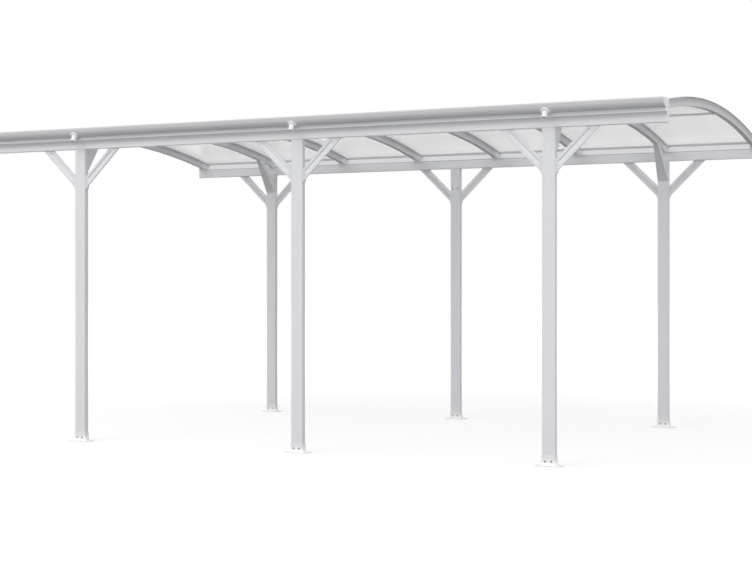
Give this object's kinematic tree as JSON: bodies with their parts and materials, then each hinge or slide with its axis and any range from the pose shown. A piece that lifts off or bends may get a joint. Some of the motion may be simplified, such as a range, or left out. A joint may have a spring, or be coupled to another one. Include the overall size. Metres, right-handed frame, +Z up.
{
  "type": "carport",
  "caption": "Free-standing carport: arched translucent roof on curved ribs, eave gutters with drain spouts, braced slim posts on flared feet",
  "frame": {"origin": "on the ground, at the middle of the plan between the six feet", "axes": "+X along the carport to the right, +Y across it to the back row of posts, +Z up"},
  "size_m": [5.051, 3.0646, 2.3748],
  "materials": {
    "frame": "satin",
    "feet": "satin",
    "gutter": "satin",
    "ribs": "satin",
    "spouts": "gloss",
    "seals": "matte",
    "glazing": "satin"
  },
  "bodies": {
    "root": {"front_left_post": "frame", "front_left_foot": "feet", "front_left_braces": "frame", "front_left_knee": "frame", "front_middle_post": "frame", "front_middle_foot": "feet", "front_middle_braces": "frame", "front_right_post": "frame", "front_right_foot": "feet", "front_right_braces": "frame", "front_right_knee": "frame", "front_eave_gutter": "gutter", "front_drain_spouts": "spouts", "back_left_post": "frame", "back_left_foot": "feet", "back_left_braces": "frame", "back_left_knee": "frame", "back_middle_post": "frame", "back_middle_foot": "feet", "back_middle_braces": "frame", "back_right_post": "frame", "back_right_foot": "feet", "back_right_braces": "frame", "back_right_knee": "frame", "back_eave_gutter": "gutter", "back_drain_spouts": "spouts", "left_end_plates": "gutter", "right_end_plates": "gutter", "rib_1": "ribs", "rib_2": "ribs", "rib_3": "ribs", "rib_4": "ribs", "rib_5": "ribs", "rib_6": "ribs", "rib_7": "ribs", "rib_8": "ribs", "roof_panel_1": "glazing", "roof_panel_2": "glazing", "roof_panel_3": "glazing", "roof_panel_4": "glazing", "roof_panel_5": "glazing", "roof_panel_6": "glazing", "roof_panel_7": "glazing", "rib_cover_strips": "ribs", "eave_closing_strips": "seals", "eave_cap_strips": "gutter", "ridge_bar": "ribs"}
  },
  "joints": []
}
